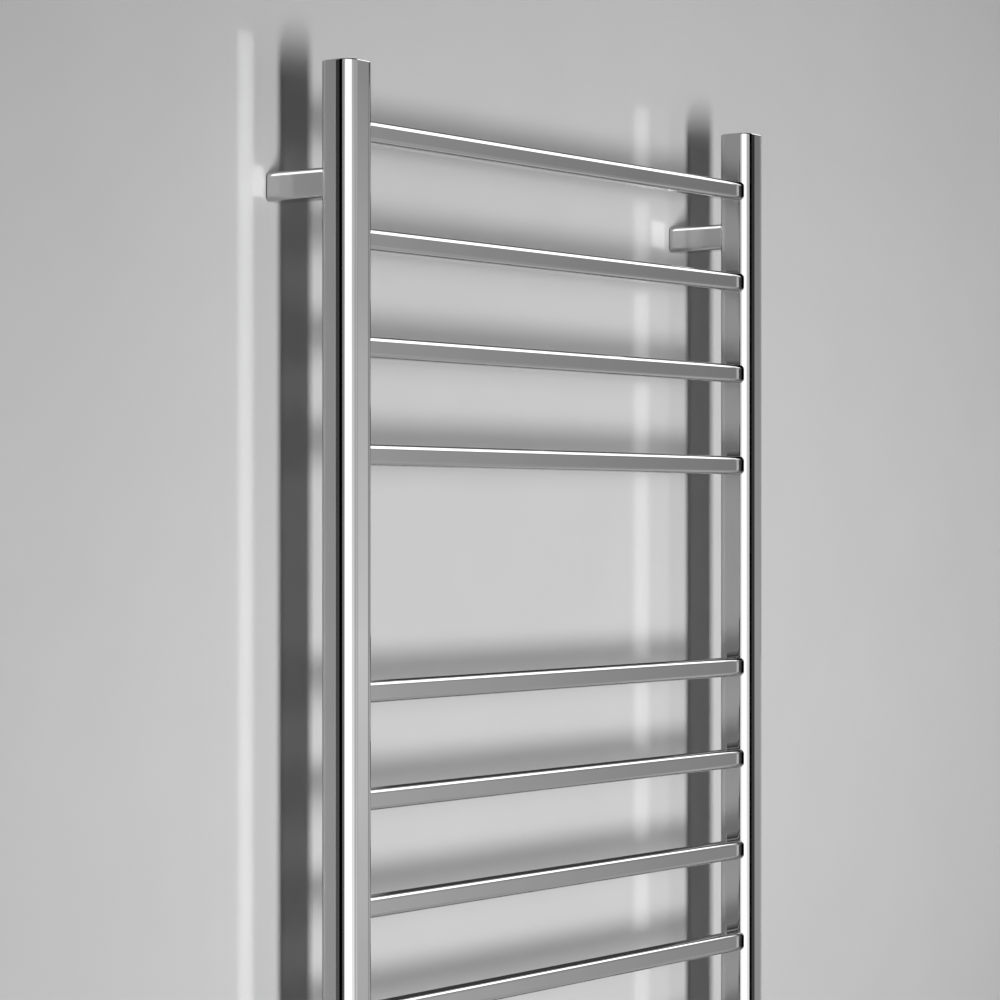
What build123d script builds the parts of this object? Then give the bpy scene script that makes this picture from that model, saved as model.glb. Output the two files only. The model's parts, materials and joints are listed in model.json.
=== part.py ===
"""Wall-hung electric towel warmer: square bars between two soft-cornered uprights.

Sizes are millimetres. The origin is on the wall, midway between the four wall fixings.
+X points right as seen from the room, +Y into the wall and +Z up.
"""

import os

from build123d import *

# Ladder: two uprights and the bars let into their inner faces
rack_width = 650.0
upright_side = 35.0
upright_corner = 11.0
upright_wall = 1.5
upright_edge_break = 1.2
bar_side = 18.0
bar_corner = 4.5
bar_wall = 1.2
bar_socket = 5.0
bar_forward = 4.0
bar_pitch = 90.0
towel_gap = 198.0
bars_above_gap = 4
bars_below_gap = 6
end_to_bar = 57.5
cap_thickness = 3.0
cut_over = 1.0

# Standoffs, and the blocks on the wall that they slide over
wall_distance = 60.0
standoff_side = 25.0
standoff_corner = 4.0
standoff_wall = 2.0
standoff_from_end = 100.5
block_depth = 14.0
block_play = 0.15
screw_offset = 6.3
screw_hole_radius = 2.2
cable_hole_radius = 4.5
grub_radius = 2.0
grub_recess = 0.3
grub_pocket_radius = 2.3
grub_pocket_depth = 1.5
grub_key_radius = 1.15
grub_key_depth = 1.6

# Heating cable and the cold leads inside the tubes
cable_radius = 2.2
cable_bend = 40.0
cable_end_bend = 14.0
turn_from_axis = 11.5
go_lane = -6.5
return_lane = 1.0
lead_radius = 1.2
lead_spacing = 5.4
lead_bend = 12.0
lead_end_bend = 8.0
lead_drop = 4.0
lead_step_rise = 7.0
lead_step_end = 12.0
neutral_turn_above = 10.0
neutral_turn_back = 7.5
lead_port_radius = 8.5
cutout_width = 13.0
cutout_depth = 7.0
cutout_length = 22.0
cutout_edge = 1.0
cutout_above_bar = 35.0
splice_radius = 3.2
splice_length = 22.0

# Terminal block in the lower right standoff
terminal_width = 16.8
terminal_length = 18.0
terminal_from_wall = 20.0
terminal_bore_radius = 1.6
terminal_grip = 6.0
terminal_groove_width = 0.8
terminal_groove_depth = 5.0
terminal_screw_radius = 1.5
terminal_screw_length = 3.0
terminal_well_radius = 1.7
terminal_well_depth = 4.0
terminal_slot_width = 0.6
terminal_slot_depth = 0.5

# Earth screw in the back of the right upright
earth_from_end = 44.0
earth_radius = 2.0
earth_length = 8.0
earth_head_radius = 3.6
earth_head_height = 2.2
earth_nut_flats = 7.0
earth_nut_height = 3.0
earth_tag_radius = 4.0
earth_tag_thickness = 0.8
earth_tag_width = 3.0
earth_tag_length = 12.0
earth_crimp_length = 3.0
earth_wire_seat = 0.9
earth_wire_drop = 20.0
earth_wire_above_tag = 5.0

# Supply grommet in the lower right wall block
grommet_bore_radius = 3.3
grommet_flange_radius = 5.2
grommet_flange_height = 1.5

# Push switch in the lower end of the right upright
switch_hole_radius = 8.0
switch_barrel_radius = 7.9
switch_barrel_length = 19.6
switch_base_radius = 6.8
switch_base_length = 10.0
switch_flange_radius = 9.8
switch_flange_height = 2.0
switch_flange_chamfer = 0.6
switch_seal_outer = 9.4
switch_seal_height = 0.6
switch_bore_radius = 6.05
switch_lip_height = 1.8
switch_cavity_radius = 6.7
switch_cavity_length = 9.0
switch_nut_flats = 19.0
switch_nut_height = 3.0
button_radius = 6.0
button_shoulder_radius = 6.4
button_shoulder_height = 3.2
button_proud = 1.8
button_edge = 0.6
button_dish_rim = 4.8
button_dish_floor = 3.8
button_dish_depth = 0.5
button_seat_gap = 0.05
blade_thickness = 0.8
blade_width = 2.8
blade_length = 8.0
blade_from_axis = 4.0

# Places that follow from the sizes above
rack_height = 2 * end_to_bar + (bars_above_gap + bars_below_gap - 2) * bar_pitch + towel_gap
top_z = rack_height / 2
bottom_z = -top_z
upright_x = (rack_width - upright_side) / 2
upright_y = -wall_distance - upright_side / 2
upright_bore = upright_side - 2 * upright_wall
upright_bore_corner = upright_corner - upright_wall
inner_face_x = upright_x - upright_side / 2
bar_y = upright_y - bar_forward
back_inside_y = -wall_distance - upright_wall
fixing_z = top_z - standoff_from_end
upper_bars = [top_z - end_to_bar - i * bar_pitch for i in range(bars_above_gap)]
lower_bars = [upper_bars[-1] - towel_gap - i * bar_pitch for i in range(bars_below_gap)]
bar_heights = upper_bars + lower_bars

# Heights and depths of the pieces inside, from the places above
standoff_floor = -fixing_z - standoff_side / 2 + standoff_wall
lead_z = -fixing_z - lead_drop
terminal_y = -terminal_from_wall - terminal_length / 2
lead_start_y = terminal_y - terminal_length / 2 + terminal_grip
pole_places = [upright_x + pole * lead_spacing for pole in (-1, 0, 1)]
clamp_from_middle = terminal_length / 2 - terminal_grip + terminal_screw_radius
clamp_places = [(x, terminal_y + end * clamp_from_middle) for x in pole_places for end in (-1, 1)]
cutout_low = bar_heights[-1] + cutout_above_bar
splice_top = cutout_low + 2 * splice_length
flange_high = bottom_z - switch_seal_height
flange_low = flange_high - switch_flange_height
barrel_high = flange_high + switch_barrel_length
base_high = barrel_high + switch_base_length
lip_high = flange_low + switch_lip_height
blade_top = base_high + blade_length
blade_y = upright_y + blade_from_axis
earth_z = bottom_z + earth_from_end

# Outlines shared by several pieces
upright_outline = RectangleRounded(upright_side, upright_side, upright_corner)
upright_inside = RectangleRounded(upright_bore, upright_bore, upright_bore_corner)
bar_outline = RectangleRounded(bar_side, bar_side, bar_corner)

SIDES = {"left": -1, "right": 1}
LEVELS = {"upper": 1, "lower": -1}


def square_tube(side, corner, wall, length):
    """Square tube with rounded corners, along Z and centred on the origin."""
    bore_side = side - 2 * wall
    section = RectangleRounded(side, side, corner)
    section -= RectangleRounded(bore_side, bore_side, corner - wall)
    return extrude(section, length / 2, both=True)


def along_y(radius, length):
    """Round bar along Y, centred on the origin."""
    return Rot(90, 0, 0) * Cylinder(radius, length)


def disc(radius, low, high):
    """Round piece on the right upright's axis, between two heights."""
    return Pos(upright_x, upright_y, (low + high) / 2) * Cylinder(radius, high - low)


def hexagon(flats):
    """Hexagon given by the distance across its flats."""
    return RegularPolygon(flats / 2, 6, major_radius=False)


def round_lead(points, bends, radius):
    """Round cable along straight runs joined by tangent arcs."""
    path = FilletPolyline(*points, radius=bends)
    section = Plane(origin=path @ 0, z_dir=path % 0) * Circle(radius)
    return sweep(section, path=path)


def upright(side):
    """One upright, with a slot in its inner wall for the end of every bar."""
    tube = extrude(upright_outline, rack_height / 2, both=True)
    ends = tube.edges().group_by(Axis.Z)
    tube = fillet(ends[0] + ends[-1], upright_edge_break)
    tube -= extrude(upright_inside, rack_height / 2, both=True)
    slot = Rot(0, 90, 0) * extrude(bar_outline, bar_socket, both=True)
    for height in bar_heights:
        tube -= Pos(-side * upright_side / 2, -bar_forward, height) * slot
    return Pos(side * upright_x, upright_y, 0) * tube


def wired_upright():
    """Right upright, with the port for the leads and the earth screw's hole in its back wall."""
    tube = upright(SIDES["right"])
    cut_length = 2 * (upright_wall + cut_over)
    tube -= Pos(upright_x, -wall_distance, -fixing_z) * along_y(lead_port_radius, cut_length)
    tube -= Pos(upright_x, -wall_distance, earth_z) * along_y(earth_radius, cut_length)
    return tube


def end_cap(side, low):
    """Plate that closes an upright's end, flush with it."""
    return Pos(side * upright_x, upright_y, low) * extrude(upright_inside, cap_thickness)


def bar(height):
    """One hollow cross bar, let into both uprights."""
    length = 2 * (inner_face_x + bar_socket)
    tube = square_tube(bar_side, bar_corner, bar_wall, length)
    return Pos(0, bar_y, height) * Rot(0, 90, 0) * tube


def standoff(side, level):
    """Square tube from the wall to an upright, its end shaped to the upright's back."""
    length = wall_distance + upright_corner
    tube = square_tube(standoff_side, standoff_corner, standoff_wall, length)
    tube = Pos(0, -length / 2, 0) * Rot(90, 0, 0) * tube
    tube -= Pos(0, upright_y, 0) * extrude(upright_outline, standoff_side, both=True)
    grub_hole = Cylinder(grub_radius, 2 * (standoff_wall + cut_over))
    tube -= Pos(0, -block_depth / 2, -standoff_side / 2) * grub_hole
    return Pos(side * upright_x, 0, level * fixing_z) * tube


def wall_fixing(side, level):
    """Block screwed to the wall inside a standoff, with two screw holes and a cable hole."""
    block_side = standoff_side - 2 * standoff_wall - 2 * block_play
    block_corner = standoff_corner - standoff_wall - block_play
    outline = RectangleRounded(block_side, block_side, block_corner)
    block = Rot(90, 0, 0) * extrude(outline, block_depth)
    middle = Pos(0, -block_depth / 2, 0)
    block -= middle * along_y(cable_hole_radius, block_depth + cut_over)
    for outward in (-1, 1):
        place = Pos(outward * side * screw_offset, 0, outward * level * screw_offset)
        block -= middle * place * along_y(screw_hole_radius, block_depth + cut_over)
    pocket = Cylinder(grub_pocket_radius, 2 * grub_pocket_depth)
    block -= middle * Pos(0, 0, -block_side / 2) * pocket
    return Pos(side * upright_x, 0, level * fixing_z) * block


def grub_screw(side, level):
    """Set screw through a standoff's underside, its tip in the block's pocket."""
    low = -standoff_side / 2 + grub_recess
    high = -standoff_side / 2 + standoff_wall + block_play + grub_pocket_depth
    screw = Pos(0, 0, (low + high) / 2) * Cylinder(grub_radius, high - low)
    screw -= Pos(0, 0, low) * extrude(RegularPolygon(grub_key_radius, 6), grub_key_depth)
    return Pos(side * upright_x, -block_depth / 2, level * fixing_z) * screw


def heating_cable():
    """One cable that goes up the ladder bar by bar and comes back down the right upright."""
    turn_x = upright_x + turn_from_axis
    go_y = upright_y + go_lane
    return_y = upright_y + return_lane
    climbing = list(reversed(bar_heights))
    points = [(turn_x, go_y, climbing[0] + cutout_above_bar)]
    from_side = 1
    for height in climbing:
        points.append((from_side * turn_x, go_y, height))
        points.append((-from_side * turn_x, go_y, height))
        from_side = -from_side
    points[-1] = (turn_x, return_y, climbing[-1])
    points.append((turn_x, return_y, splice_top))
    bends = [cable_end_bend] + [cable_bend] * (len(points) - 3)
    return round_lead(points, bends, cable_radius)


def thermal_cutout():
    """Cut-out clipped over the cable's live end, with both wires in its lower face."""
    body = Box(cutout_width, cutout_depth, cutout_length)
    body = fillet(body.edges().filter_by(Axis.Z), cutout_edge)
    centre_x = upright_x + turn_from_axis - lead_spacing / 2
    return Pos(centre_x, upright_y + go_lane, cutout_low + cutout_length / 2) * body


def neutral_splice():
    """Crimped sleeve between the cable's returning end and the neutral lead."""
    middle_z = splice_top - splice_length / 2
    place = Pos(upright_x + turn_from_axis, upright_y + return_lane, middle_z)
    return place * Cylinder(splice_radius, splice_length)


def terminal_block():
    """Three-way connector strip on the floor of the lower right standoff."""
    height = 2 * (lead_z - standoff_floor)
    block = Box(terminal_width, terminal_length, height)
    for gap in (-0.5, 0.5):
        groove = Box(terminal_groove_width, terminal_length, terminal_groove_depth)
        block -= Pos(gap * lead_spacing, 0, (height - terminal_groove_depth) / 2) * groove
    block = Pos(upright_x, terminal_y, lead_z) * block
    for x in pole_places:
        block -= Pos(x, terminal_y, lead_z) * along_y(terminal_bore_radius, terminal_length)
    for x, y in clamp_places:
        well = Cylinder(terminal_well_radius, 2 * terminal_well_depth)
        block -= Pos(x, y, lead_z + height / 2) * well
    return block


def terminal_screws():
    """Slotted clamp screws, one at each end of every pole."""
    seat_z = 2 * lead_z - standoff_floor - terminal_well_depth
    screw = extrude(Circle(terminal_screw_radius), terminal_screw_length)
    slot = Box(2 * terminal_screw_radius, terminal_slot_width, 2 * terminal_slot_depth)
    screw -= Pos(0, 0, terminal_screw_length) * slot
    return [Pos(x, y, seat_z) * screw for x, y in clamp_places]


def live_lead():
    """Lead from the connector strip down to the switch."""
    x = upright_x - lead_spacing
    points = [(x, lead_start_y, lead_z), (x, blade_y, lead_z), (x, blade_y, blade_top)]
    return round_lead(points, lead_bend, lead_radius)


def switched_lead():
    """Lead from the switch up to the cut-out, stepping forward past the heating cable."""
    x = upright_x + lead_spacing
    go_y = upright_y + go_lane
    points = [
        (x, blade_y, blade_top),
        (x, blade_y, bar_heights[-1] + lead_step_rise),
        (x, go_y, cutout_low - lead_step_end),
        (x, go_y, cutout_low),
    ]
    return round_lead(points, lead_end_bend, lead_radius)


def neutral_lead():
    """Lead from the splice to the connector strip."""
    splice_x = upright_x + turn_from_axis
    splice_y = upright_y + return_lane
    x = upright_x + lead_spacing
    points = [
        (splice_x, splice_y, splice_top - splice_length),
        (splice_x, splice_y, lead_z + neutral_turn_above),
        (x, splice_y + neutral_turn_back, lead_z),
        (x, lead_start_y, lead_z),
    ]
    return round_lead(points, lead_end_bend, lead_radius)


def earth_lead():
    """Lead from the connector strip to the ring tag under the earth screw's nut."""
    tag_y = back_inside_y - earth_tag_thickness / 2
    wire_end_y = back_inside_y - earth_tag_thickness - earth_wire_seat
    tag_top = earth_z + earth_tag_length
    drop_y = upright_y + lead_bend
    points = [
        (upright_x, lead_start_y, lead_z),
        (upright_x, drop_y, lead_z),
        (upright_x, drop_y, lead_z - earth_wire_drop),
        (upright_x, wire_end_y, tag_top + earth_wire_above_tag),
        (upright_x, wire_end_y, tag_top - earth_crimp_length),
    ]
    wire = round_lead(points, lead_end_bend, lead_radius)
    ring = along_y(earth_tag_radius, earth_tag_thickness)
    tongue = Box(earth_tag_width, earth_tag_thickness, earth_tag_length)
    ring += Pos(0, 0, earth_tag_length / 2) * tongue
    ring -= along_y(earth_radius, earth_tag_thickness)
    return wire + Pos(upright_x, tag_y, earth_z) * ring


def earth_screw():
    """Screw through the right upright's back wall, its head outside."""
    screw = Pos(0, -earth_length / 2, 0) * along_y(earth_radius, earth_length)
    head = Pos(0, earth_head_height / 2, 0) * along_y(earth_head_radius, earth_head_height)
    rim = head.edges().filter_by(GeomType.CIRCLE).sort_by(Axis.Y)[-1]
    screw += fillet(rim, earth_head_height / 2)
    return Pos(upright_x, -wall_distance, earth_z) * screw


def earth_nut():
    """Nut that clamps the ring tag against the inside of the back wall."""
    nut = extrude(hexagon(earth_nut_flats) - Circle(earth_radius), earth_nut_height)
    return Pos(upright_x, back_inside_y - earth_tag_thickness, earth_z) * Rot(90, 0, 0) * nut


def supply_grommet():
    """Rubber sleeve in the lower right block's cable hole, flanged on the inner side."""
    bore = Circle(grommet_bore_radius)
    sleeve = extrude(Circle(cable_hole_radius) - bore, block_depth)
    flange = extrude(Circle(grommet_flange_radius) - bore, grommet_flange_height)
    grommet = sleeve + Pos(0, 0, block_depth) * flange
    return Pos(upright_x, 0, -fixing_z) * Rot(90, 0, 0) * grommet


def switch_body():
    """Threaded barrel with its flange below the cap, a cavity for the button and a plain base."""
    flange = disc(switch_flange_radius, flange_low, flange_high)
    flange = chamfer(flange.edges().sort_by(Axis.Z)[0], switch_flange_chamfer)
    body = flange + disc(switch_barrel_radius, flange_high, barrel_high)
    body += disc(switch_base_radius, barrel_high, base_high)
    body -= disc(switch_bore_radius, flange_low, lip_high)
    body -= disc(switch_cavity_radius, lip_high, lip_high + switch_cavity_length)
    return body


def switch_button():
    """Dished button, held in by the shoulder behind the barrel's lip."""
    face_z = flange_low - button_proud
    seat_z = lip_high + button_seat_gap
    stem = disc(button_radius, face_z, seat_z)
    stem = fillet(stem.edges().sort_by(Axis.Z)[0], button_edge)
    dish = Cone(button_dish_rim, button_dish_floor, button_dish_depth)
    stem -= Pos(upright_x, upright_y, face_z + button_dish_depth / 2) * dish
    return stem + disc(button_shoulder_radius, seat_z, seat_z + button_shoulder_height)


def switch_nut():
    """Nut on the barrel, above the cap."""
    nut = extrude(hexagon(switch_nut_flats) - Circle(switch_barrel_radius), switch_nut_height)
    return Pos(upright_x, upright_y, bottom_z + cap_thickness) * nut


def switch_seal():
    """Flat ring between the switch's flange and the cap."""
    ring = extrude(Circle(switch_seal_outer) - Circle(switch_hole_radius), switch_seal_height)
    return Pos(upright_x, upright_y, flange_high) * ring


def switch_terminals():
    """Two blades on top of the switch, one for each lead."""
    blade = Box(blade_thickness, blade_width, blade_length)
    middle_z = blade_top - blade_length / 2
    return [Pos(upright_x + pole * lead_spacing, blade_y, middle_z) * blade for pole in (-1, 1)]


nodes = {
    "left_upright": upright(SIDES["left"]),
    "right_upright": wired_upright(),
    "grub_screws": [grub_screw(side, level) for level in LEVELS.values() for side in SIDES.values()],
    "heating_cable": heating_cable(),
    "thermal_cutout": thermal_cutout(),
    "neutral_splice": neutral_splice(),
    "terminal_block": terminal_block(),
    "terminal_screws": terminal_screws(),
    "live_lead": live_lead(),
    "switched_lead": switched_lead(),
    "neutral_lead": neutral_lead(),
    "earth_lead": earth_lead(),
    "earth_screw": earth_screw(),
    "earth_nut": earth_nut(),
    "supply_grommet": supply_grommet(),
    "switch_body": switch_body(),
    "switch_button": switch_button(),
    "switch_nut": switch_nut(),
    "switch_seal": switch_seal(),
    "switch_terminals": switch_terminals(),
}
for number, height in enumerate(bar_heights, start=1):
    nodes[f"bar_{number}"] = bar(height)
for side_name, side in SIDES.items():
    nodes[f"{side_name}_top_cap"] = end_cap(side, top_z - cap_thickness)
    nodes[f"{side_name}_bottom_cap"] = end_cap(side, bottom_z)
    for level_name, level in LEVELS.items():
        nodes[f"{level_name}_{side_name}_standoff"] = standoff(side, level)
        nodes[f"{level_name}_{side_name}_wall_fixing"] = wall_fixing(side, level)
nodes["right_bottom_cap"] -= disc(switch_hole_radius, bottom_z, bottom_z + cap_thickness)

os.makedirs("parts", exist_ok=True)
for name, shape in nodes.items():
    solid = Compound(children=shape) if isinstance(shape, list) else shape
    export_step(solid, f"parts/{name}.step")
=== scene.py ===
"""Looks of a wall-hung towel warmer: polished square tubes, fixings and the studio round them.

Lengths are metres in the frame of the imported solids: X to the right, Y into the wall, Z up.
"""

from __future__ import annotations

import json
import logging
import math
from dataclasses import dataclass, replace
from enum import Enum

import bpy
import numpy as np
from numpy.typing import NDArray
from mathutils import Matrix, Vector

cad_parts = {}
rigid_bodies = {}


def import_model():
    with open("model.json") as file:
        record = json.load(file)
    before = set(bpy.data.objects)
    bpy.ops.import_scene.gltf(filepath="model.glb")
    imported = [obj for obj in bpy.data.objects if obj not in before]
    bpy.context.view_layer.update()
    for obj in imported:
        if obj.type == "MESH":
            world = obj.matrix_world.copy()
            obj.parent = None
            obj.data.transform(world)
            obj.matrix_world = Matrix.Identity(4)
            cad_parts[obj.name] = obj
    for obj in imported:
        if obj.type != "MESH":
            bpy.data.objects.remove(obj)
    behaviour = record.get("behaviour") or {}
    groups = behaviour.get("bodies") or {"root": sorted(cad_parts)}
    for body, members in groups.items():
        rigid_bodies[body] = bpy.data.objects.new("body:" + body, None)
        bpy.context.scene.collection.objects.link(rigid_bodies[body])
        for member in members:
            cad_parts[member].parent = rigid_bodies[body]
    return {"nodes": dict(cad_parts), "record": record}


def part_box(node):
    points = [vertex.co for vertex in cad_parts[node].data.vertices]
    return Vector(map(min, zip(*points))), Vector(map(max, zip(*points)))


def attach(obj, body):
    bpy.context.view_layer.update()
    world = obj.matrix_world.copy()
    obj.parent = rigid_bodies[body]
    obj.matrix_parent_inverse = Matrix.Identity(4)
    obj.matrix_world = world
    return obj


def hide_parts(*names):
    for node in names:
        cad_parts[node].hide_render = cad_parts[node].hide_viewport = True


bpy.data.batch_remove(list(bpy.data.objects))
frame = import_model()

FloatArray = NDArray[np.float64]
IntArray = NDArray[np.int64]
Lights = tuple[tuple[float, float], tuple[float, float]]
MM = 0.001
RACK = "rack"
UPRIGHT_CORNER = 11.0 * MM
POLE_NORMALS = np.array([(0.0, 0.0, -1.0), (0.0, 0.0, 1.0)])
log = logging.getLogger("towel_warmer")


class Run(Enum):
    """The way a tube runs, as the turn that carries a drawing's third axis there."""

    ALONG_X = ((0, 0, 1), (1, 0, 0), (0, 1, 0))
    FROM_WALL = ((1, 0, 0), (0, 0, -1), (0, 1, 0))
    ALONG_Z = ((1, 0, 0), (0, 1, 0), (0, 0, 1))

    def sizes(self, across: float, along: float) -> tuple[float, float, float]:
        """Give a pattern's size on X, Y and Z, drawn out along the tube."""
        lengthwise = np.abs(np.array(self.value)[:, 2])
        return tuple((across + (along - across) * lengthwise).tolist())


class Ends(Enum):
    """How the first and last rows of a carried section are closed."""

    LOOP = "joined to each other"
    POLES = "each fanned to its own middle"


class Seen(Enum):
    """What sees a card of the studio."""

    BY_POLISH = "reflections only"
    BY_CAMERA = "the camera only"


@dataclass(frozen=True)
class Outline:
    """Points of a flat line, with the unit normal that points out of the shape at each."""

    points: FloatArray
    normals: FloatArray


@dataclass(frozen=True)
class Surface:
    """A closed surface: points, their normals, and the faces between them."""

    points: FloatArray
    normals: FloatArray
    quads: IntArray
    triangles: IntArray

    def turned(self, run: Run) -> Surface:
        """Give the surface with its third axis carried along a tube's run."""
        turn = np.array(run.value, float)
        return replace(self, points=self.points @ turn.T, normals=self.normals @ turn.T)

    def moved(self, place: FloatArray) -> Surface:
        """Give the surface shifted by a vector."""
        return replace(self, points=self.points + place)


def rounded_path(corners: FloatArray, radii: FloatArray, steps: int, closed: bool) -> Outline:
    """Join straight runs by arcs, walked with the outside on the right hand.

    Each corner gives way to an arc that touches both runs. The heading turns evenly from one run
    to the next, the normal is the heading turned a quarter to the right, and a point of the arc is
    its centre plus the radius times the normal, or minus it where the path turns right.

    Args:
        corners: Corners of the path, one row each.
        radii: Radius of the arc at each corner.
        steps: Divisions of every arc.
        closed: Whether the last corner runs on to the first.

    Returns:
        The path's points and normals.
    """
    arriving = corners - np.roll(corners, 1, axis=0)
    leaving = np.roll(corners, -1, axis=0) - corners
    heading_in = np.arctan2(arriving[:, 1], arriving[:, 0])
    heading_out = np.arctan2(leaving[:, 1], leaving[:, 0])
    turn = (heading_out - heading_in + np.pi) % (2 * np.pi) - np.pi
    heading = heading_in[:, None] + turn[:, None] * np.linspace(0.0, 1.0, steps + 1)
    normals = np.stack([np.sin(heading), -np.cos(heading)], axis=2)
    reach = (radii * np.tan(np.abs(turn) / 2))[:, None]
    starts = corners - reach * np.stack([np.cos(heading_in), np.sin(heading_in)], axis=1)
    bend = (np.sign(turn) * radii)[:, None]
    centres = starts - bend * normals[:, 0]
    points = centres[:, None] + bend[:, None] * normals
    if closed:
        return Outline(points.reshape(-1, 2), normals.reshape(-1, 2))
    inner = slice(1, -1)
    first, last = normals[1, :1], normals[-2, -1:]
    return Outline(
        np.concatenate([corners[:1], points[inner].reshape(-1, 2), corners[-1:]]),
        np.concatenate([first, normals[inner].reshape(-1, 2), last]),
    )


def rounded_square(side: float, corner: float, steps: int) -> Outline:
    """Draw a square with round corners, from its lower left corner and anticlockwise.

    Args:
        side: Distance across the flats.
        corner: Radius of the four corners.
        steps: Divisions of each corner's arc.

    Returns:
        The square's outline, centred on nought.
    """
    half = side / 2
    corners = np.array([(-half, -half), (half, -half), (half, half), (-half, half)])
    return rounded_path(corners, np.full(4, corner), steps, closed=True)


def matching_circle(outline: Outline, radius: float) -> Outline:
    """Draw a circle whose points lie on the rays from the middle to another outline's points.

    Args:
        outline: Outline whose points give the rays.
        radius: Radius of the circle.

    Returns:
        The circle, with as many points as the outline.
    """
    rays = outline.points / np.linalg.norm(outline.points, axis=1, keepdims=True)
    return Outline(radius * rays, rays)


def wall_section(
    thickness: float, low: float, high: float, rims: tuple[float, float], steps: int
) -> Outline:
    """Draw the section of a tube's wall: a tall strip with round edges.

    Its first coordinate is the way out of the tube, nought on the outer face, and its second runs
    along the tube.

    Args:
        thickness: Thickness of the wall.
        low: Where the tube starts.
        high: Where the tube ends.
        rims: Radius of the outer and of the inner edges.
        steps: Divisions of each edge's arc.

    Returns:
        The section as a closed outline that starts at its low outer edge.
    """
    corners = np.array([(0.0, low), (0.0, high), (-thickness, high), (-thickness, low)])
    return rounded_path(corners, np.repeat(rims, 2), steps, closed=True)


def ring_faces(rows: int, columns: int, ends: Ends) -> tuple[IntArray, IntArray]:
    """Join rows of points into faces, each row closed on itself.

    Point (i, j) has the number i times the columns plus j. Where the ends are poles, the middle of
    the first row and that of the last row follow the last point.

    Args:
        rows: Number of rows.
        columns: Points in each row.
        ends: How the first and last rows are closed.

    Returns:
        Corners of the faces with four sides, and of those with three.
    """
    here = np.arange(rows if ends is Ends.LOOP else rows - 1)[:, None]
    above = (here + 1) % rows
    column = np.arange(columns)[None]
    beside = (column + 1) % columns
    faces = [
        here * columns + column,
        here * columns + beside,
        above * columns + beside,
        above * columns + column,
    ]
    quads = np.stack(faces, axis=2).reshape(-1, 4)
    if ends is Ends.LOOP:
        return quads, np.empty((0, 3), int)
    around, next_one = column[0], beside[0]
    top, first_pole = (rows - 1) * columns, rows * columns
    under = np.stack([np.full(columns, first_pole), next_one, around], axis=1)
    over = np.stack([np.full(columns, first_pole + 1), top + around, top + next_one], axis=1)
    return quads, np.concatenate([under, over])


def carried(plan: Outline, section: Outline, ends: Ends, bore: Outline | None = None) -> Surface:
    """Carry a section round a plan.

    Point (i, j) is the plan's point j, moved along the plan's normal there by the section's first
    coordinate at i and raised by its second. Its normal is made of the same two parts. Where a bore
    is given, the inner half of the section is carried round that outline instead.

    Args:
        plan: Outline that the section goes round, walked anticlockwise.
        section: Outline of the wall, walked up its outer face.
        ends: How the section's own two ends are closed.
        bore: Outline for the inner half of the section, with as many points as the plan.

    Returns:
        The closed surface.
    """
    offset, height = section.points.T
    out, up = section.normals.T
    base, away = plan.points[None], plan.normals[None]
    if bore is not None:
        inner = (offset < offset.min() / 2)[:, None, None]
        base = np.where(inner, bore.points[None], base)
        away = np.where(inner, bore.normals[None], away)
        offset = np.where(inner[:, 0, 0], offset - offset.min(), offset)
    rows, columns = len(offset), len(plan.points)
    flat = base + offset[:, None, None] * away
    raised = np.broadcast_to(height[:, None, None], (rows, columns, 1))
    lifted = np.broadcast_to(up[:, None, None], (rows, columns, 1))
    points = np.concatenate([flat, raised], axis=2).reshape(-1, 3)
    spread = np.broadcast_to(out[:, None, None] * away, (rows, columns, 2))
    normals = np.concatenate([spread, lifted], axis=2).reshape(-1, 3)
    if ends is Ends.POLES:
        poles = [points[:columns].mean(axis=0), points[-columns:].mean(axis=0)]
        points = np.concatenate([points, poles])
        normals = np.concatenate([normals, POLE_NORMALS])
    return Surface(points, normals, *ring_faces(rows, columns, ends))


def corners_of(node: str) -> tuple[FloatArray, FloatArray]:
    """Give the low and the high corner of a solid's box."""
    low, high = (np.array(corner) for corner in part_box(node))
    return low, high


def linear(hex_colour: str) -> tuple[float, float, float, float]:
    """Turn an sRGB hex colour into linear red, green, blue and alpha.

    Args:
        hex_colour: Six hex digits after a hash.

    Returns:
        Linear values from nought to one.
    """
    srgb = np.frombuffer(bytes.fromhex(hex_colour[1:]), np.uint8) / 255
    values = np.where(srgb <= 0.04045, srgb / 12.92, ((srgb + 0.055) / 1.055) ** 2.4)
    return (*values.tolist(), 1.0)


def add_node(
    tree: bpy.types.NodeTree, kind: str, sockets: dict[str | int, object], **settings: object
) -> bpy.types.Node:
    """Add one shader node, set its properties, and fill or link its input sockets.

    Args:
        tree: Node tree that takes the node.
        kind: Blender's name of the node type.
        sockets: Value, or output socket to link from, for each input.
        settings: Properties of the node itself.

    Returns:
        The new node.
    """
    node = tree.nodes.new(kind)
    for name, value in settings.items():
        setattr(node, name, value)
    for key, value in sockets.items():
        if isinstance(value, bpy.types.NodeSocket):
            tree.links.new(value, node.inputs[key])
        else:
            node.inputs[key].default_value = value
    return node


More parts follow.
